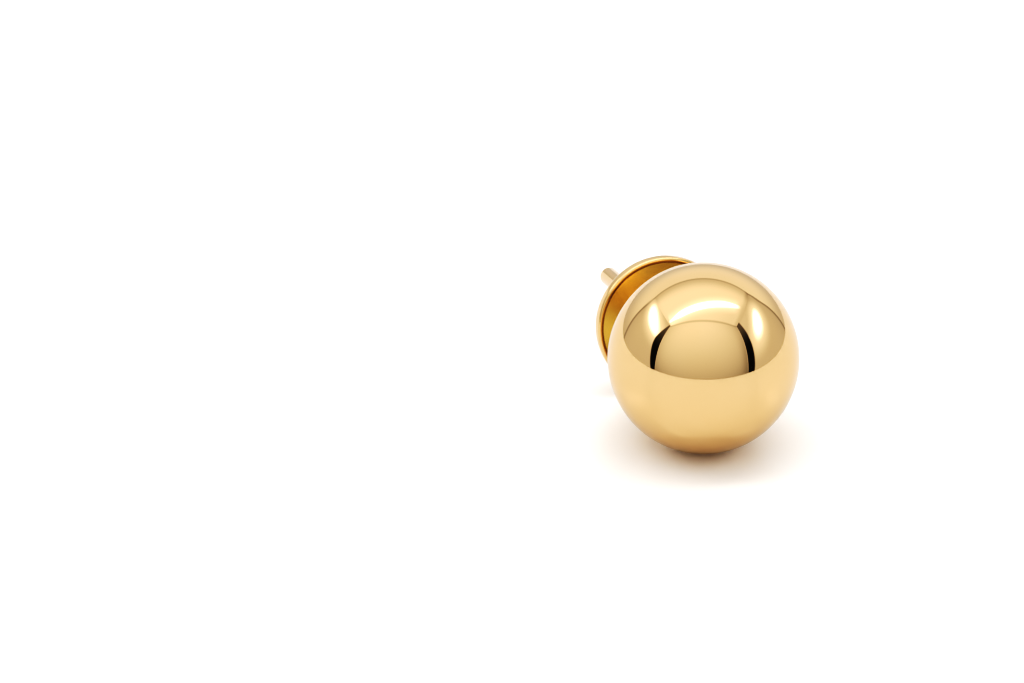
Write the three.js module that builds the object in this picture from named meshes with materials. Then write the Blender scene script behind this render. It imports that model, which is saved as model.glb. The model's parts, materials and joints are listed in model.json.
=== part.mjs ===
// A ball stud earring that lies on a level surface, as it does when it is not worn.
//
// Millimetres, +Z up. The surface is z = 0 and the origin is the bottom centre of the whole earring.
// The post runs from the ball towards +Y and slopes down a little, because the earring rests on two
// places: the bottom of the ball and the lower edge of the disc back, which is the smaller of the two.
//
// Both pieces are turned shapes. Their outlines are lists of points (radius, distance along the post),
// and the distance is counted from the centre of the ball for the stud and from the lip for the back.
import * as THREE from 'three';

// The stud: a ball with a straight ear post soldered to it.
const ballDiameter = 8;
const postDiameter = 0.8;
const postLength = 11;
const postTipRound = 0.2;
const solderFillet = 0.3;

// The disc back: a dished disc with a rounded rim and a collar that grips the post.
const discDiameter = 5.9;
const discThickness = 0.3;
const lipWidth = 0.24;
const lipOuterRound = 0.11;
const lipInnerRound = 0.05;
const rimStraight = 0.3;
const rimBackRound = 0.35;
const domeEdgeAngle = 65;
const seatRingDiameter = 2.6;
const collarDiameter = 1.5;
const collarLength = 0.9;
const collarFillet = 0.15;
const collarRound = 0.12;

// Fits: how far the back stands behind the ball, and the running clearance of its bore.
const lobeGap = 1.8;
const boreClearance = 0.04;

// How finely the turned shapes are cut. The turn count divides by four, so that lines face down and sideways.
const turnSegments = 32;
const roundSteps = 3;
const domeSteps = 5;
const ballFrontSteps = 12;
const ballRestSteps = 1;
const ballBackSteps = 9;

// The finish: polished yellow gold.
const goldColour = 0xf0c472;
const goldRoughness = 0.08;

// Sizes that follow from the ones above
const ballRadius = ballDiameter / 2;
const postRadius = postDiameter / 2;
const postTip = ballRadius + postLength;
const discRadius = discDiameter / 2;
const boreRadius = postRadius + boreClearance;
const lipInnerRadius = discRadius - lipWidth;
const seatRingRadius = seatRingDiameter / 2;
const collarRadius = collarDiameter / 2;
const lipPlane = ballRadius + lobeGap;

// The rounded rear edge of the rim, whose middle line is a circle about the post
const rimRoundRadius = discRadius - rimBackRound;
const rimRoundPlane = lipOuterRound + rimStraight;

/**
 * The slope of the post at rest, in radians. The ball touches the surface one ball radius below its centre,
 * and the rounded rear edge of the rim touches it too, so the middle line of that edge passes one rounding
 * radius above the surface.
 */
function restingSlope() {
  const along = lipPlane + rimRoundPlane;
  const reach = Math.hypot(along, rimRoundRadius);
  return Math.asin((ballRadius - rimBackRound) / reach) - Math.atan2(rimRoundRadius, along);
}

const slope = restingSlope();

const radians = (degrees) => THREE.MathUtils.degToRad(degrees);

/** Points of an arc about (r, s), without its first point. Angles are in radians, from the outward direction. */
function arc(r, s, radius, from, to, steps) {
  const points = [];
  for (let step = 1; step <= steps; step += 1) {
    const angle = from + ((to - from) * step) / steps;
    points.push(new THREE.Vector2(r + radius * Math.cos(angle), s + radius * Math.sin(angle)));
  }
  return points;
}

const point = (r, s) => new THREE.Vector2(r, s);

/**
 * Turns an outline about the post's line, which is local Y. The lines that its points draw lie on the true round
 * surface, and one of them faces down, so that each piece touches the surface at its true size.
 */
function turned(outline) {
  return new THREE.LatheGeometry(outline, turnSegments);
}

/** The ball from its front to the fillet, the post, and its rounded tip with a small flat. */
function studOutline() {
  const filletCentreRadius = postRadius + solderFillet;
  const filletAngle = Math.acos(filletCentreRadius / (ballRadius + solderFillet));
  const filletPlane = (ballRadius + solderFillet) * Math.sin(filletAngle);
  const front = -Math.PI / 2;
  const tipRoundRadius = postRadius - postTipRound;
  return [
    point(0, -ballRadius),
    ...arc(0, 0, ballRadius, front, 0, ballFrontSteps),
    ...arc(0, 0, ballRadius, 0, slope, ballRestSteps),
    ...arc(0, 0, ballRadius, slope, filletAngle, ballBackSteps),
    ...arc(filletCentreRadius, filletPlane, solderFillet, filletAngle + Math.PI, Math.PI, roundSteps),
    point(postRadius, postTip - postTipRound),
    ...arc(tipRoundRadius, postTip - postTipRound, postTipRound, 0, Math.PI / 2, roundSteps),
    point(0, postTip),
  ];
}

/** The dome of the back: part of a ball that continues the rounded rear edge without a corner. */
function dome() {
  const edge = radians(domeEdgeAngle);
  const radius = rimBackRound + rimRoundRadius / Math.cos(edge);
  const centre = rimRoundPlane - (radius - rimBackRound) * Math.sin(edge);
  return { edge, radius, centre };
}

/** Where a ball about the post's line has the given distance from that line. */
const planeOnBall = (radius, centre, r) => centre + Math.sqrt(radius * radius - r * r);

/** The far side of the back: rim, dome and collar, from the lip to the end of the collar. */
function backFarSide() {
  const shell = dome();
  const filletRadius = collarRadius + collarFillet;
  const filletReach = shell.radius + collarFillet;
  const filletAngle = Math.acos(filletRadius / filletReach);
  const filletPlane = shell.centre + filletReach * Math.sin(filletAngle);
  const collarEnd = planeOnBall(shell.radius, shell.centre, collarRadius) + collarLength;
  const lipRoundRadius = discRadius - lipOuterRound;
  return [
    point(lipRoundRadius, 0),
    ...arc(lipRoundRadius, lipOuterRound, lipOuterRound, -Math.PI / 2, 0, roundSteps),
    point(discRadius, rimRoundPlane),
    ...arc(rimRoundRadius, rimRoundPlane, rimBackRound, 0, slope, 1),
    ...arc(rimRoundRadius, rimRoundPlane, rimBackRound, slope, shell.edge, roundSteps),
    ...arc(0, shell.centre, shell.radius, shell.edge, filletAngle, domeSteps),
    ...arc(filletRadius, filletPlane, collarFillet, filletAngle + Math.PI, Math.PI, roundSteps),
    point(collarRadius, collarEnd - collarRound),
    ...arc(collarRadius - collarRound, collarEnd - collarRound, collarRound, 0, Math.PI / 2, roundSteps),
    point(boreRadius, collarEnd),
  ];
}

/** The side of the back that faces the ball: bore, flat ring, dish and the inside of the lip. */
function backDish() {
  const shell = dome();
  const dishRadius = shell.radius - discThickness;
  const seatPlane = planeOnBall(dishRadius, shell.centre, seatRingRadius);
  const seatAngle = Math.acos(seatRingRadius / dishRadius);
  const wallAngle = Math.acos(lipInnerRadius / dishRadius);
  const lipRoundRadius = lipInnerRadius + lipInnerRound;
  return [
    point(boreRadius, seatPlane),
    point(seatRingRadius, seatPlane),
    ...arc(0, shell.centre, dishRadius, seatAngle, wallAngle, domeSteps),
    point(lipInnerRadius, lipInnerRound),
    ...arc(lipRoundRadius, lipInnerRound, lipInnerRound, Math.PI, 1.5 * Math.PI, roundSteps),
  ];
}

/** The whole outline of the back, closed on itself. */
function backOutline() {
  const outline = [...backFarSide(), ...backDish()];
  return [...outline, outline[0].clone()];
}

function gold() {
  return new THREE.MeshStandardMaterial({ color: goldColour, roughness: goldRoughness, metalness: 1 });
}

function ballAndPost() {
  const mesh = new THREE.Mesh(turned(studOutline()), gold());
  mesh.name = 'ball_and_post';
  return mesh;
}

function discBack() {
  const mesh = new THREE.Mesh(turned(backOutline()), gold());
  mesh.name = 'disc_back';
  mesh.position.y = lipPlane;
  return mesh;
}

/** The earring laid down: sloped as it rests, its lowest points on the surface, its middle over the origin. */
function earring() {
  const sloped = new THREE.Group();
  sloped.add(ballAndPost(), discBack());
  sloped.rotation.x = -slope;
  sloped.position.z = ballRadius;
  const laidDown = new THREE.Group();
  laidDown.add(sloped);
  laidDown.updateMatrixWorld(true);
  const box = new THREE.Box3().setFromObject(laidDown, true);
  sloped.position.y = -(box.min.y + box.max.y) / 2;
  return laidDown;
}

const group = earring();

export default group;
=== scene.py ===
"""A ball stud earring in mirror-polished yellow gold, lying on a white table in a soft light tent.

Lengths are metres. The post's line, the centre of the ball and the plane of the back's lip come from the
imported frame, and the sizes of the two turned pieces are named below.
"""

from collections import namedtuple
import json
import math

import bmesh
import bpy
from mathutils import Matrix, Vector


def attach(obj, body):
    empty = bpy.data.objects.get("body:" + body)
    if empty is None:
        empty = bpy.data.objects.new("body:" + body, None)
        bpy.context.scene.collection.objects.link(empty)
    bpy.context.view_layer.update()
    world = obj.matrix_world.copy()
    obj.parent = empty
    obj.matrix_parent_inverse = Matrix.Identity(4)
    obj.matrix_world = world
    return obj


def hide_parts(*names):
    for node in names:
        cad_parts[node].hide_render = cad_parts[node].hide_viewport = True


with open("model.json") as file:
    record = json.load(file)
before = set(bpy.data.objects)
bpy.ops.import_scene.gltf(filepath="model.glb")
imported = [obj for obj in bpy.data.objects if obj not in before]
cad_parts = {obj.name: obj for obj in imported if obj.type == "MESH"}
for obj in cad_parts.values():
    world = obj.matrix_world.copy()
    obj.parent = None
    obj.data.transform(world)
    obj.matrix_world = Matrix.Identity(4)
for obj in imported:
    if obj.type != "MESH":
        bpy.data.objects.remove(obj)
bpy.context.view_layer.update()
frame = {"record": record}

MM = 0.001

# The stud
BALL_RADIUS = 4 * MM
POST_RADIUS = 0.4 * MM
POST_LENGTH = 11 * MM
TIP_ROUND = 0.2 * MM
SOLDER_FILLET = 0.3 * MM

# The disc back
DISC_RADIUS = 2.95 * MM
DISC_THICKNESS = 0.3 * MM
LIP_WIDTH = 0.24 * MM
LIP_OUTER_ROUND = 0.11 * MM
LIP_INNER_ROUND = 0.05 * MM
RIM_STRAIGHT = 0.3 * MM
RIM_BACK_ROUND = 0.35 * MM
DOME_EDGE = math.radians(65)
SEAT_RING_RADIUS = 1.3 * MM
COLLAR_RADIUS = 0.75 * MM
COLLAR_LENGTH = 0.9 * MM
COLLAR_FILLET = 0.15 * MM
COLLAR_ROUND = 0.12 * MM
BORE_RADIUS = 0.44 * MM
BORE_ROUND = 0.04 * MM

# The back's rim and dome, which follow from these. Heights are counted from the lip, away from the ball.
LIP_INSIDE = DISC_RADIUS - LIP_WIDTH
RIM_RADIUS = DISC_RADIUS - RIM_BACK_ROUND
RIM_HEIGHT = LIP_OUTER_ROUND + RIM_STRAIGHT
DOME_RADIUS = RIM_BACK_ROUND + RIM_RADIUS / math.cos(DOME_EDGE)
DOME_CENTRE = RIM_HEIGHT - RIM_RADIUS * math.tan(DOME_EDGE)
DISH_RADIUS = DOME_RADIUS - DISC_THICKNESS

# How finely the pieces are turned, how near two points count as one, and how much large faces set the shading
TURN_STEPS = 192
BALL_STEPS = 120
DOME_STEPS = 28
ROUND_STEPS = 10
SAME_POINT = 0.0005 * MM
LARGE_FACE_WEIGHT = 100

# The photograph's frame, and where its ball is: centre and radius in pixels
FRAME_WIDTH = 1024
FRAME_HEIGHT = 683
BALL_PIXEL_X = 703.5
BALL_PIXEL_Y = 358.2
BALL_PIXEL_RADIUS = 96.0

# The camera: a long lens, looking down on the table, the post pointing away and to the left
LENS = 200
SENSOR = 36
CAMERA_AZIMUTH = math.radians(-16.8)
CAMERA_ELEVATION = math.radians(25)
NEAREST_SEEN = 0.01
FURTHEST_SEEN = 20


def mounts():
    """The record's mounts by name, as (place, direction)."""
    return {m["name"]: (Vector(m["pos_m"]), Vector(m["axis"])) for m in frame["record"]["mounts"]}


PLACES = mounts()
POST_TIP, POST_LINE = PLACES["post_tip"]
POST_LINE.normalize()
BALL_CENTRE = POST_TIP - POST_LINE * (BALL_RADIUS + POST_LENGTH)
LIP_DISTANCE = (PLACES["back_lip"][0] - BALL_CENTRE).dot(POST_LINE)
UPRIGHT = Vector((0, 0, 1))


def along_post(distance):
    """From the lathe's frame, its axis up, to the earring: the origin goes to that place on the post."""
    turn = UPRIGHT.rotation_difference(POST_LINE).to_matrix().to_4x4()
    return Matrix.Translation(BALL_CENTRE + POST_LINE * distance) @ turn


class Outline:
    """The outline of a turned piece, drawn in the plane of the axis as radius and height, then spun."""

    def __init__(self, radius, height):
        self.mesh = bmesh.new()
        self.first = self.mesh.verts.new((radius, 0, height))
        self.last = self.first

    def line(self, radius, height):
        """A straight stretch to that point."""
        corner = self.mesh.verts.new((radius, 0, height))
        self.mesh.edges.new((self.last, corner))
        self.last = corner

    def arc(self, radius, height, angle, steps=ROUND_STEPS):
        """A round stretch about that centre. A positive angle turns from outward to upward."""
        made = bmesh.ops.spin(
            self.mesh, geom=[self.last], cent=(radius, 0, height), axis=(0, -1, 0),
            angle=angle, steps=steps, use_merge=False, use_duplicate=False)
        self.last = next(v for v in made["geom_last"] if isinstance(v, bmesh.types.BMVert))

    def close(self):
        """Joins the last point to the first."""
        self.mesh.edges.new((self.last, self.first))

    def spun(self, name, place):
        """The turned piece as an object, its place in its mesh."""
        bmesh.ops.spin(
            self.mesh, geom=self.mesh.verts[:] + self.mesh.edges[:], cent=(0, 0, 0), axis=UPRIGHT,
            angle=math.tau, steps=TURN_STEPS, use_merge=True, use_duplicate=False)
        bmesh.ops.remove_doubles(self.mesh, verts=self.mesh.verts, dist=SAME_POINT)
        bmesh.ops.recalc_face_normals(self.mesh, faces=self.mesh.faces)
        bmesh.ops.transform(self.mesh, matrix=place, verts=self.mesh.verts)
        return as_object(name, self.mesh, smooth=True)


def as_object(name, mesh, smooth=False):
    """Puts a bmesh into the scene under that name."""
    data = bpy.data.meshes.new(name)
    for face in mesh.faces:
        face.smooth = smooth
    mesh.to_mesh(data)
    mesh.free()
    made = bpy.data.objects.new(name, data)
    bpy.context.scene.collection.objects.link(made)
    return made


def even_shading(piece):
    """Lets the large faces set the shading, so that flats and rounds meet without a false bulge."""
    modifier = piece.modifiers.new("even shading", "WEIGHTED_NORMAL")
    modifier.weight = LARGE_FACE_WEIGHT


def ball_stud():
    """The polished ball with its soldered post, from the front of the ball to the flat of the tip."""
    fillet_radius = POST_RADIUS + SOLDER_FILLET
    fillet_angle = math.acos(fillet_radius / (BALL_RADIUS + SOLDER_FILLET))
    fillet_height = (BALL_RADIUS + SOLDER_FILLET) * math.sin(fillet_angle)
    tip = BALL_RADIUS + POST_LENGTH
    outline = Outline(0, -BALL_RADIUS)
    outline.arc(0, 0, math.pi / 2 + fillet_angle, BALL_STEPS)
    outline.arc(fillet_radius, fillet_height, -fillet_angle)
    outline.line(POST_RADIUS, tip - TIP_ROUND)
    outline.arc(POST_RADIUS - TIP_ROUND, tip - TIP_ROUND, math.pi / 2)
    outline.line(0, tip)
    return outline.spun("polished_ball_stud", along_post(0))


def disc_back():
    """The dished back: lip, rounded rim, dome and collar outside; bore, flat ring and dish inside."""
    fillet_radius = COLLAR_RADIUS + COLLAR_FILLET
    fillet_angle = math.acos(fillet_radius / (DOME_RADIUS + COLLAR_FILLET))
    fillet_height = DOME_CENTRE + (DOME_RADIUS + COLLAR_FILLET) * math.sin(fillet_angle)
    collar_foot = DOME_CENTRE + math.sqrt(DOME_RADIUS ** 2 - COLLAR_RADIUS ** 2)
    collar_end = collar_foot + COLLAR_LENGTH
    seat_height = DOME_CENTRE + math.sqrt(DISH_RADIUS ** 2 - SEAT_RING_RADIUS ** 2)
    seat_angle = math.acos(SEAT_RING_RADIUS / DISH_RADIUS)
    wall_angle = math.acos(LIP_INSIDE / DISH_RADIUS)

    outline = Outline(DISC_RADIUS - LIP_OUTER_ROUND, 0)
    outline.arc(DISC_RADIUS - LIP_OUTER_ROUND, LIP_OUTER_ROUND, math.pi / 2)
    outline.line(DISC_RADIUS, RIM_HEIGHT)
    outline.arc(RIM_RADIUS, RIM_HEIGHT, DOME_EDGE)
    outline.arc(0, DOME_CENTRE, fillet_angle - DOME_EDGE, DOME_STEPS)
    outline.arc(fillet_radius, fillet_height, -fillet_angle)
    outline.line(COLLAR_RADIUS, collar_end - COLLAR_ROUND)
    outline.arc(COLLAR_RADIUS - COLLAR_ROUND, collar_end - COLLAR_ROUND, math.pi / 2)
    outline.line(BORE_RADIUS + BORE_ROUND, collar_end)
    outline.arc(BORE_RADIUS + BORE_ROUND, collar_end - BORE_ROUND, math.pi / 2)
    outline.line(BORE_RADIUS, seat_height + BORE_ROUND)
    outline.arc(BORE_RADIUS + BORE_ROUND, seat_height + BORE_ROUND, math.pi / 2)
    outline.line(SEAT_RING_RADIUS, seat_height)
    outline.arc(0, DOME_CENTRE, wall_angle - seat_angle, DOME_STEPS)
    outline.line(LIP_INSIDE, LIP_INNER_ROUND)
    outline.arc(LIP_INSIDE + LIP_INNER_ROUND, LIP_INNER_ROUND, math.pi / 2)
    outline.close()
    return outline.spun("dished_disc_back", along_post(LIP_DISTANCE))


# A Mix node's colours go by number: its two inputs and its output
MIX_FIRST = 6
MIX_SECOND = 7
MIX_COLOUR = 2


class Wire:
    """A shader socket that can be reckoned with like a number, and the one place where nodes are made."""

    def __init__(self, tree, socket=None):
        self.tree = tree
        self.socket = socket

    def node(self, kind, settings=None, inputs=None, output=0):
        """A new node: its settings first, then the values or links of its sockets. Returns one output."""
        made = self.tree.nodes.new(kind)
        for name, value in (settings or {}).items():
            setattr(made, name, value)
        for name, value in (inputs or {}).items():
            if isinstance(value, Wire):
                self.tree.links.new(value.socket, made.inputs[name])
            else:
                made.inputs[name].default_value = value
        return Wire(self.tree, made.outputs[output] if len(made.outputs) else None)

    def math(self, operation, *values):
        """A Math node on those values."""
        return self.node("ShaderNodeMath", {"operation": operation}, dict(enumerate(values)))

    def __add__(self, other):
        return self.math("ADD", self, other)

    def __radd__(self, other):
        return self.math("ADD", other, self)

    def __sub__(self, other):
        return self.math("SUBTRACT", self, other)

    def __rsub__(self, other):
        return self.math("SUBTRACT", other, self)

    def __mul__(self, other):
        return self.math("MULTIPLY", self, other)

    def __rmul__(self, other):
        return self.math("MULTIPLY", other, self)

    def __truediv__(self, other):
        return self.math("DIVIDE", self, other)

    def __rtruediv__(self, other):
        return self.math("DIVIDE", other, self)

    def __abs__(self):
        return self.math("ABSOLUTE", self)

    def root(self):
        """The square root."""
        return self.math("SQRT", self)

    def lower(self, other, blend=0.0):
        """The lower of the two, with a round corner of that size."""
        return self.math("SMOOTH_MIN", self, other, blend)

    def upper(self, other, blend=0.0):
        """The higher of the two, with a round corner of that size."""
        return self.math("SMOOTH_MAX", self, other, blend)

    def ramp(self, low, high):
        """0 below low, 1 above high and smooth between."""
        return self.node(
            "ShaderNodeMapRange", {"interpolation_type": "SMOOTHERSTEP"},
            {"Value": self, "From Min": low, "From Max": high})

    def blend(self, first, second):
        """The colour between first, where this is 0, and second, where it is 1."""
        return self.node(
            "ShaderNodeMix", {"data_type": "RGBA"},
            {"Factor": self, MIX_FIRST: first, MIX_SECOND: second}, MIX_COLOUR)

    def parts(self):
        """X, Y and Z of a vector, as three wires."""
        made = self.node("ShaderNodeSeparateXYZ", inputs={"Vector": self})
        return [Wire(self.tree, part) for part in made.socket.node.outputs]


def new_material(name):
    """An empty node material, and a wire into its tree."""
    material = bpy.data.materials.new(name)
    material.use_nodes = True
    material.node_tree.nodes.clear()
    return material, Wire(material.node_tree)


def surface(wire, shader):
    """Makes a shader the material's surface."""
    wire.node("ShaderNodeOutputMaterial", inputs={"Surface": shader})


def noise(wire, place, lumps, detail=2.0):
    """Noise from 0 to 1, with that many lumps to the millimetre."""
    return wire.node(
        "ShaderNodeTexNoise", {"noise_dimensions": "3D"},
        {"Vector": place, "Scale": lumps / MM, "Detail": detail})


def relief(wire, height, depth):
    """The normal of a surface that is uneven by that depth."""
    return wire.node("ShaderNodeBump", inputs={"Height": height, "Strength": 1.0, "Distance": depth})


def post_frame(wire):
    """Object coordinates turned so that the origin is the centre of the ball and +Z runs along the post."""
    return wire.node("ShaderNodeMapping", {"vector_type": "TEXTURE"}, {
        "Vector": wire.node("ShaderNodeTexCoord", output="Object"),
        "Location": BALL_CENTRE,
        "Rotation": UPRIGHT.rotation_difference(POST_LINE).to_euler(),
    })


WHITE = (1, 1, 1, 1)

# The gold of the stud and of the back, each with the deeper tone that it drifts to, and a darker gold painted
# in the back's dish as painted shade. A dark line of painted shade runs from the flat of the lip a little way
# down its inner edge.
GOLD = (0.92, 0.665, 0.385, 1)
GOLD_DEEP = (0.912, 0.652, 0.37, 1)
BACK_GOLD = (0.912, 0.65, 0.355, 1)
BACK_GOLD_DEEP = (0.90, 0.635, 0.335, 1)
DISH_PAINTED_SHADE_GOLD = (0.74, 0.50, 0.15, 1)
PAINTED_SHADE_LINE_GOLD = (0.33, 0.20, 0.06, 1)

# The finish of the stud. Noise goes by lumps to the millimetre, and a share is the range of it that shows.
DRIFT_SHARE = (0.3, 0.7)
STUD_DRIFT = 0.35
STUD_ROUGHNESS = 0.02
POLISH_MARKS = 9.0
POLISH_DETAIL = 4.0
POLISH_SHARE = (0.35, 0.8)
POLISH_ROUGHNESS = 0.02
SWELL = 0.8
SWELL_DETAIL = 1.0
SWELL_DEPTH = 0.0002 * MM

# The finish of the back, and the stretches over which its dish, with its painted shade, and its painted dark
# line of shade begin or end
BACK_DRIFT = 0.5
BACK_ROUGHNESS = 0.06
DISH_ROUGHNESS = 0.2
RINGS = 14
RING_DETAIL = 3.0
RING_ROUGHNESS = 0.06
RING_DEPTH = 0.0004 * MM
DISH_PAST_LIP = (0.05 * MM, 0.2 * MM)
DISH_INWARDS = (-0.02 * MM, 0.1 * MM)
DISH_SIDE = (-0.15 * MM, -0.05 * MM)
PAINTED_SHADE_LINE_INWARDS = (-0.13 * MM, -0.09 * MM)
PAINTED_SHADE_LINE_PAST_LIP = (0.06 * MM, 0.12 * MM)


def mirror_gold():
    """Mirror-polished gold: a faint drift of tone, hairline polishing marks and a hardly uneven surface."""
    material, wire = new_material("mirror_gold")
    place = post_frame(wire)
    drift = noise(wire, place, STUD_DRIFT).ramp(*DRIFT_SHARE)
    marks = noise(wire, place, POLISH_MARKS, POLISH_DETAIL).ramp(*POLISH_SHARE)
    swell = noise(wire, place, SWELL, SWELL_DETAIL)
    surface(wire, wire.node("ShaderNodeBsdfPrincipled", inputs={
        "Base Color": drift.blend(GOLD, GOLD_DEEP),
        "Metallic": 1.0,
        "Roughness": marks * POLISH_ROUGHNESS + STUD_ROUGHNESS,
        "Normal": relief(wire, swell, SWELL_DEPTH),
    }))
    return material


def spun_gold():
    """Gold spun on a lathe and polished, with fine rings. Its dish is softer and darkened by painted shade; a
    painted dark line of shade runs by the lip.
    """
    material, wire = new_material("spun_gold")
    place = post_frame(wire)
    across, upright, along = place.parts()
    radius = (across * across + upright * upright).root()
    past_lip = along - LIP_DISTANCE
    past_centre = past_lip - DOME_CENTRE
    inwards = LIP_INSIDE - radius
    within_dome = DISH_RADIUS - (radius * radius + past_centre * past_centre).root()
    dish = past_lip.ramp(*DISH_PAST_LIP) * inwards.ramp(*DISH_INWARDS) * within_dome.ramp(*DISH_SIDE)
    # A thin dark line painted at the lip's inner edge: painted shade in the crease
    edge = inwards.ramp(*PAINTED_SHADE_LINE_INWARDS) * (1 - past_lip.ramp(*PAINTED_SHADE_LINE_PAST_LIP))
    drift = noise(wire, place, BACK_DRIFT).ramp(*DRIFT_SHARE)
    # The dish's darker colour is painted shade in the hollow
    tone = dish.blend(drift.blend(BACK_GOLD, BACK_GOLD_DEEP), DISH_PAINTED_SHADE_GOLD)
    rings = wire.node(
        "ShaderNodeTexNoise", {"noise_dimensions": "1D"},
        {"W": radius, "Scale": RINGS / MM, "Detail": RING_DETAIL})
    surface(wire, wire.node("ShaderNodeBsdfPrincipled", inputs={
        "Base Color": edge.blend(tone, PAINTED_SHADE_LINE_GOLD),
        "Metallic": 1.0,
        "Roughness": rings * RING_ROUGHNESS + BACK_ROUGHNESS + dish * (DISH_ROUGHNESS - BACK_ROUGHNESS),
        "Normal": relief(wire, rings, RING_DEPTH),
    }))
    return material


def dress(piece, node, body, material):
    """Gives a piece its material and puts it in the place of a node, on that node's body."""
    piece.data.materials.append(material)
    even_shading(piece)
    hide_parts(node)
    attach(piece, body)


# The light tent: a box of white cloth about the earring, open at the back, which the camera doesn't see.
# Its sizes are shares of its height above the table, X to the right and Y away as the camera stands.
TENT_HEIGHT = 0.8
MIDDLE_HEIGHT = 0.5
TENT_BACK = 1.08
LEFT_WALL = -0.90
LEFT_WALL_TOP_FRONT = -0.80
LEFT_WALL_TOP_BACK = -1.11
RIGHT_WALL = 0.72
RIGHT_WALL_TOP_FRONT = 0.77
RIGHT_WALL_TOP_BACK = 0.90

# The front edges of the side walls, as how far back they are at the table, halfway up and at the top, where
# the edge between them bows towards the camera
FRONT_TOP = -0.342
LEFT_FRONT_EDGE = (-0.55, -0.47, FRONT_TOP)
RIGHT_FRONT_EDGE = (-0.53, -0.41, FRONT_TOP)
FRONT_TOP_BOW = 0.02
ROW_STEPS = 16

# Their back edges at the table and halfway up, as (x, y)
LEFT_BACK_FOOT = (LEFT_WALL, 0.54)
LEFT_BACK_MIDDLE = (-0.97, 0.74)
RIGHT_BACK_FOOT = (RIGHT_WALL, 0.68)
RIGHT_BACK_MIDDLE = (0.75, 0.73)

# The front cloth's glow: brightest from a height up, dimmer to its sides, beside the right bar and at its top
FRONT_GLOW_FOOT = 0.67
FRONT_GLOW_TOP = 1.2
FRONT_GLOW_HEIGHT = 0.85
FRONT_GLOW_MIDDLE = -0.15
FRONT_GLOW_FALL = 0.55
BAR_SHADE = 0.2
BAR_SHADE_ACROSS = (0.45, 0.75)
BAR_SHADE_UP = (0.2, 0.9)
FRONT_TOP_SHADE = 0.25
FRONT_TOP_SHADE_UP = (0.93, 1.0)

# The strip light on the top cloth. It tapers and fades towards both ends, and its cloth glows round it.
STRIP_GLOW = 3.2
STRIP_SLOPE = 0.3
STRIP_MIDDLE = 0.02
STRIP_HALF_WIDTH = 0.075
STRIP_EDGE = (0.6, 1.5)
STRIP_LEFT_FADE = (-0.80, -0.76)
STRIP_RIGHT_FADE = (0.54, 0.74)
STRIP_LEFT_TAPER = 0.8
STRIP_LEFT_TAPER_ACROSS = (-0.85, -0.35)
STRIP_RIGHT_TAPER = 0.5
STRIP_RIGHT_TAPER_ACROSS = (0.24, 0.74)
HALO_GLOW = 0.4
HALO_REACH = (0.02, 0.3)

# The top cloth's own glow, dimmer to the back and in the right front corner
TOP_GLOW = 1.25
TOP_BACK_SHADE = 0.45
TOP_BACK_SHADE_AWAY = (0.35, 1.05)
CORNER_SHADE = 0.2
CORNER_SLOPE = 0.6
CORNER_REACH = (0.0, 0.9)

# Dim lines at its seams. A line is where across * x + away * y + shift is 0.
Seam = namedtuple("Seam", "across away shift half_width dimming")
TOP_SEAMS = (
    Seam(across=0.0, away=1.0, shift=-1.02, half_width=0.09, dimming=0.18),
    Seam(across=0.0, away=1.0, shift=0.355, half_width=0.05, dimming=0.35),
    Seam(across=1.0, away=0.218, shift=0.865, half_width=0.12, dimming=0.04),
    Seam(across=1.0, away=-0.09, shift=-0.79, half_width=0.13, dimming=0.2),
)

# The glow of a side cloth, and the lamp that shines through it
SIDE_GLOW = 0.74
SIDE_RISE = 0.15
SIDE_RISE_UP = (-0.2, 1.0)
SIDE_BACK_SHADE = 0.2
SIDE_BACK_SHADE_AWAY = (0.1, 1.1)
SIDE_TOP_SHADE = 0.08
SIDE_TOP_SHADE_UP = (0.85, 1.05)
DIM_LINE = 0.26
DIM_LINE_HALF_WIDTH = 0.07
LAMP_GLOW = 2.4
LAMP_CORE = (0.55, 1.8)
LAMP_HALO_GLOW = 0.5
LAMP_HALO = (0.6, 3.6)

# The black bar at its front edge, greyer higher up, and how softly the lines of bar and dim line bend
BAR_BLACK = 0.02
BAR_GREY = 0.2
BAR_GREY_UP = (0.3, 1.0)
BAR_FRONT_EDGE = (0.004, 0.02)
BAR_BACK_EDGE = (-0.02, 0.02)
BAR_BEND = 0.1
DIM_LINE_BEND = 0.1

# What differs between the side cloths: a lamp's centre as (y, z), its tilt, length and thickness, and the two
# straight lines that the bar's back edge and the dim line follow. Such a line is (slope, y at the table).
Lamp = namedtuple("Lamp", "centre tilt length thickness")
Side = namedtuple("Side", "front_edge bar_back dim_line lamp")
LEFT_SIDE = Side(
    front_edge=LEFT_FRONT_EDGE,
    bar_back=((0.38, -0.42), (-0.11, -0.185)),
    dim_line=((0.38, 0.51), (0.86, 0.16)),
    lamp=Lamp(centre=(0.19, 0.745), tilt=0.3, length=0.36, thickness=0.105))
RIGHT_SIDE = Side(
    front_edge=RIGHT_FRONT_EDGE,
    bar_back=((0.32, -0.37), (0.08, -0.27)),
    dim_line=((0.10, 0.65), (0.78, 0.26)),
    lamp=Lamp(centre=(0.15, 0.535), tilt=0.6, length=0.22, thickness=0.09))


def below_ball():
    """The point of the table under the centre of the ball, where the tent stands."""
    return Vector((BALL_CENTRE.x, BALL_CENTRE.y, 0))


def tent_place():
    """From the tent's own frame to the scene: turned to the camera, over the ball, at its real size."""
    turn = Matrix.Rotation(CAMERA_AZIMUTH, 4, "Z")
    return Matrix.Translation(below_ball()) @ turn @ Matrix.Scale(TENT_HEIGHT, 4)


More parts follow.
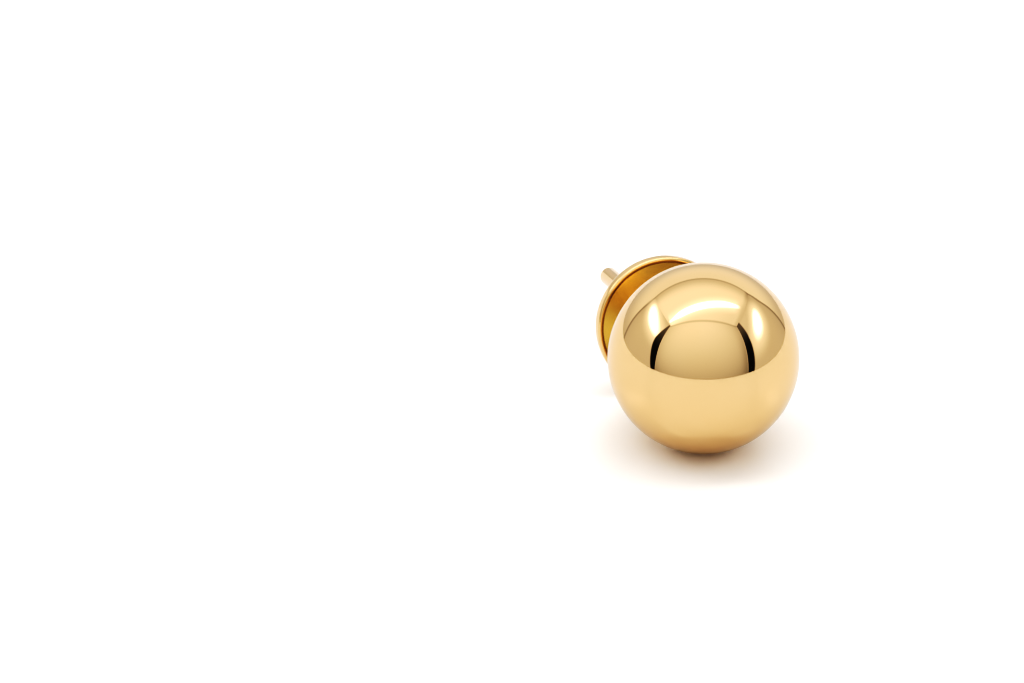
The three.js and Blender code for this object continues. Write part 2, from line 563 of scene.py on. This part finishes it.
def tent_frame(wire):
    """X, Y and Z of a point of the tent in the tent's own frame, as wires."""
    own = wire.node("ShaderNodeMapping", {"vector_type": "TEXTURE"}, {
        "Vector": wire.node("ShaderNodeTexCoord", output="Object"),
        "Location": below_ball(),
        "Rotation": (0, 0, CAMERA_AZIMUTH),
        "Scale": (TENT_HEIGHT,) * 3,
    })
    return own.parts()


def glow(name, strength):
    """A white cloth that glows. The strength is a function of the place in the tent."""
    material, wire = new_material(name)
    surface(wire, wire.node("ShaderNodeEmission", inputs={
        "Color": WHITE,
        "Strength": strength(*tent_frame(wire)),
    }))
    return material


def tent_panel(name, rows, material):
    """A panel of the tent, between rows of as many points each."""
    mesh = bmesh.new()
    points = [[mesh.verts.new(corner) for corner in row] for row in rows]
    for row, next_row in zip(points, points[1:]):
        for side in range(len(row) - 1):
            mesh.faces.new((row[side], row[side + 1], next_row[side + 1], next_row[side]))
    bmesh.ops.transform(mesh, matrix=tent_place(), verts=mesh.verts)
    panel = as_object(name, mesh)
    panel.data.materials.append(material)
    panel.visible_camera = False


def streak(distance, half_width):
    """1 on a line and 0 further from it than the half width."""
    return 1 - abs(distance).ramp(0, half_width)


def front_strength(x, y, z):
    """The front cloth is dimmest low down, to its sides, beside the right bar and at its top edge."""
    below = 1 - z.lower(FRONT_GLOW_HEIGHT) / FRONT_GLOW_HEIGHT
    level = FRONT_GLOW_TOP - below * below * (FRONT_GLOW_TOP - FRONT_GLOW_FOOT)
    aside = x - FRONT_GLOW_MIDDLE
    falling = 1 - aside * aside * FRONT_GLOW_FALL
    by_bar = x.ramp(*BAR_SHADE_ACROSS) * (1 - z.ramp(*BAR_SHADE_UP)) * BAR_SHADE
    at_top = z.ramp(*FRONT_TOP_SHADE_UP) * FRONT_TOP_SHADE
    return level * falling * (1 - by_bar) * (1 - at_top)


def top_strength(x, y, z):
    """The cloth overhead glows round a strip light that lies across it at a slant. Its seams are dim."""
    off_strip = abs(y - x * STRIP_SLOPE - STRIP_MIDDLE)
    within = x.ramp(*STRIP_LEFT_FADE) * (1 - x.ramp(*STRIP_RIGHT_FADE))
    left_taper = (1 - x.ramp(*STRIP_LEFT_TAPER_ACROSS)) * STRIP_LEFT_TAPER
    right_taper = x.ramp(*STRIP_RIGHT_TAPER_ACROSS) * STRIP_RIGHT_TAPER
    strip = 1 - (off_strip / STRIP_HALF_WIDTH + left_taper + right_taper).ramp(*STRIP_EDGE)
    halo = 1 - off_strip.ramp(*HALO_REACH)
    shade = y.ramp(*TOP_BACK_SHADE_AWAY) * TOP_BACK_SHADE
    shade += (x - y * CORNER_SLOPE).ramp(*CORNER_REACH) * CORNER_SHADE
    for seam in TOP_SEAMS:
        shade += streak(x * seam.across + y * seam.away + seam.shift, seam.half_width) * seam.dimming
    return (strip * STRIP_GLOW + halo * HALO_GLOW) * within + TOP_GLOW - shade


def off_lamp(y, z, lamp):
    """How far a point of a side cloth is from the middle of a lamp, in shares of its length and thickness."""
    along_y = math.cos(lamp.tilt)
    along_z = math.sin(lamp.tilt)
    from_y = y - lamp.centre[0]
    from_z = z - lamp.centre[1]
    along = (from_y * along_y + from_z * along_z) / lamp.length
    across = (from_z * along_y - from_y * along_z) / lamp.thickness
    return (along * along + across * across).root()


def edge_at(z, edge):
    """How far back an edge is at that height: straight from its foot to its middle, and on to its top."""
    foot, middle, top = edge
    low = z.lower(MIDDLE_HEIGHT) / MIDDLE_HEIGHT
    high = (z.upper(MIDDLE_HEIGHT) - MIDDLE_HEIGHT) / (1 - MIDDLE_HEIGHT)
    return low * (middle - foot) + high * (top - middle) + foot


def line_at(z, line):
    """How far back a straight line is at that height."""
    slope, foot = line
    return z * slope + foot


def side_strength(side):
    """The strength of a side cloth: a black bar at its front, a lamp's spot, and a dim line at its back."""
    def strength(x, y, z):
        low_line, high_line = side.bar_back
        bar_back = line_at(z, low_line).lower(line_at(z, high_line), BAR_BEND)
        bar_front = edge_at(z, side.front_edge)
        bar = (y - bar_front).ramp(*BAR_FRONT_EDGE) * (1 - (y - bar_back).ramp(*BAR_BACK_EDGE))
        black = z.ramp(*BAR_GREY_UP) * BAR_GREY + BAR_BLACK
        low_line, high_line = side.dim_line
        dim_line = line_at(z, low_line).upper(line_at(z, high_line), DIM_LINE_BEND)
        off = off_lamp(y, z, side.lamp)
        light = (1 - off.ramp(*LAMP_CORE)) * LAMP_GLOW + (1 - off.ramp(*LAMP_HALO)) * LAMP_HALO_GLOW
        shade = y.ramp(*SIDE_BACK_SHADE_AWAY) * SIDE_BACK_SHADE
        shade += z.ramp(*SIDE_TOP_SHADE_UP) * SIDE_TOP_SHADE
        shade += streak(y - dim_line, DIM_LINE_HALF_WIDTH) * DIM_LINE
        cloth = z.ramp(*SIDE_RISE_UP) * SIDE_RISE + SIDE_GLOW + light - shade
        return bar * black + (1 - bar) * cloth
    return strength


def row_across(left, right, height, bow=0.0):
    """A row of points between two (x, y) ends at that height. It bows towards the camera in its middle."""
    row = []
    for step in range(ROW_STEPS + 1):
        share = step / ROW_STEPS
        off_middle = 2 * share - 1
        x = left[0] + (right[0] - left[0]) * share
        y = left[1] + (right[1] - left[1]) * share
        row.append((x, y - bow * (1 - off_middle ** 2), height))
    return row


def light_tent():
    """The glowing cloths round the earring."""
    left_foot, left_middle, left_top = LEFT_FRONT_EDGE
    right_foot, right_middle, right_top = RIGHT_FRONT_EDGE
    top_left = (LEFT_WALL_TOP_FRONT, left_top)
    top_right = (RIGHT_WALL_TOP_FRONT, right_top)
    seam = row_across(top_left, top_right, 1, FRONT_TOP_BOW)
    tent_panel("tent_front", [
        row_across((LEFT_WALL, left_foot), (RIGHT_WALL, right_foot), 0),
        row_across((LEFT_WALL, left_middle), (RIGHT_WALL, right_middle), MIDDLE_HEIGHT),
        seam,
    ], glow("front_cloth", front_strength))
    tent_panel("tent_top", [
        seam,
        row_across((LEFT_WALL_TOP_BACK, TENT_BACK), (RIGHT_WALL_TOP_BACK, TENT_BACK), 1),
    ], glow("top_cloth", top_strength))
    tent_panel("tent_left", [
        [(LEFT_WALL, left_foot, 0), (*LEFT_BACK_FOOT, 0)],
        [(LEFT_WALL, left_middle, MIDDLE_HEIGHT), (*LEFT_BACK_MIDDLE, MIDDLE_HEIGHT)],
        [(*top_left, 1), (LEFT_WALL_TOP_BACK, TENT_BACK, 1)],
    ], glow("left_cloth", side_strength(LEFT_SIDE)))
    tent_panel("tent_right", [
        [(RIGHT_WALL, right_foot, 0), (*RIGHT_BACK_FOOT, 0)],
        [(RIGHT_WALL, right_middle, MIDDLE_HEIGHT), (*RIGHT_BACK_MIDDLE, MIDDLE_HEIGHT)],
        [(*top_right, 1), (RIGHT_WALL_TOP_BACK, TENT_BACK, 1)],
    ], glow("right_cloth", side_strength(RIGHT_SIDE)))


# The table. The camera sees it overexposed, as the photograph's is, and the gold mirrors it as it is.
TABLE_RADIUS = 4.0
TABLE_SEGMENTS = 64
TABLE_GLOSS = 0.05
TABLE_ROUGHNESS = 0.2
TABLE_WHITE = (0.86, 0.86, 0.86, 1)
TABLE_OVEREXPOSED = (1.12, 1.12, 1.12, 1)


def white_table():
    """A white table with a slight gloss, far wider than the view."""
    mesh = bmesh.new()
    bmesh.ops.create_circle(mesh, cap_ends=True, radius=TABLE_RADIUS, segments=TABLE_SEGMENTS)
    table = as_object("white_table", mesh)
    material, wire = new_material("glossy_white")
    seen_by_camera = wire.node("ShaderNodeLightPath", output="Is Camera Ray")
    matt = wire.node("ShaderNodeBsdfDiffuse", inputs={
        "Color": seen_by_camera.blend(TABLE_WHITE, TABLE_OVEREXPOSED),
    })
    gloss = wire.node("ShaderNodeBsdfGlossy", inputs={"Color": WHITE, "Roughness": TABLE_ROUGHNESS})
    # The sockets of the two shaders share one name, so they go by number.
    surface(wire, wire.node("ShaderNodeMixShader", inputs={"Fac": TABLE_GLOSS, 1: matt, 2: gloss}))
    table.data.materials.append(material)


# The sweep behind the tent, brighter above the horizon
SWEEP_GLOW = 0.68
SWEEP_RISE = 0.38
SWEEP_RISE_UP = (-0.1, 0.5)


def white_world():
    """White all round, as a studio sweep is."""
    world = bpy.data.worlds.new("white_sweep")
    world.use_nodes = True
    world.node_tree.nodes.clear()
    wire = Wire(world.node_tree)
    upwards = wire.node("ShaderNodeTexCoord", output="Generated").parts()[2]
    sweep = wire.node("ShaderNodeBackground", inputs={
        "Color": WHITE,
        "Strength": upwards.ramp(*SWEEP_RISE_UP) * SWEEP_RISE + SWEEP_GLOW,
    })
    wire.node("ShaderNodeOutputWorld", inputs={"Surface": sweep})
    bpy.context.scene.world = world


def camera():
    """A level camera at the photograph's angle, with the ball at its place and size in the photograph."""
    focal = LENS / SENSOR * FRAME_WIDTH
    distance = BALL_RADIUS / math.sin(math.atan(BALL_PIXEL_RADIUS / focal))
    aside = BALL_PIXEL_X - FRAME_WIDTH / 2
    above = FRAME_HEIGHT / 2 - BALL_PIXEL_Y
    sight = Vector((aside, above, -focal)).normalized()
    reach = math.hypot(sight.y, sight.z)
    tilt = math.acos(math.sin(CAMERA_ELEVATION) / reach) - math.atan2(sight.y, -sight.z)
    ahead = math.cos(tilt) * sight.y - math.sin(tilt) * sight.z
    data = bpy.data.cameras.new("camera")
    data.lens = LENS
    data.sensor_width = SENSOR
    data.clip_start = NEAREST_SEEN
    data.clip_end = FURTHEST_SEEN
    made = bpy.data.objects.new("camera", data)
    bpy.context.scene.collection.objects.link(made)
    made.rotation_euler = (tilt, 0, CAMERA_AZIMUTH + math.atan2(sight.x, ahead))
    made.location = BALL_CENTRE - made.rotation_euler.to_matrix() @ sight * distance
    bpy.context.scene.camera = made


# The film's response: the light that it shows white, and its curve as (light, tone), in shares of that white.
# The curve for all colours together comes after the three for red, green and blue.
WHITE_LIGHT = 1.08
SHARED_CURVE = 3
FILM_BLACK = (0.0, 0.0)
FILM_TONES = ((0.12, 0.03), (0.228, 0.115), (0.435, 0.375), (0.60, 0.585), (0.83, 0.83))
FILM_WHITE = (1.0, 1.0)


def film_response():
    """Colours as a photograph has them: its darks are deeper and its lights stay as they are."""
    settings = bpy.context.scene.view_settings
    settings.view_transform = "Standard"
    settings.look = "None"
    settings.exposure = 0
    settings.gamma = 1
    settings.use_curve_mapping = True
    mapping = settings.curve_mapping
    mapping.white_level = (WHITE_LIGHT,) * 3
    tones = mapping.curves[SHARED_CURVE].points
    tones[0].location = FILM_BLACK
    tones[1].location = FILM_WHITE
    for light, tone in FILM_TONES:
        tones.new(light, tone)
    mapping.update()


dress(ball_stud(), "ball_and_post", "stud", mirror_gold())
dress(disc_back(), "disc_back", "back", spun_gold())
light_tent()
white_table()
white_world()
camera()
film_response()
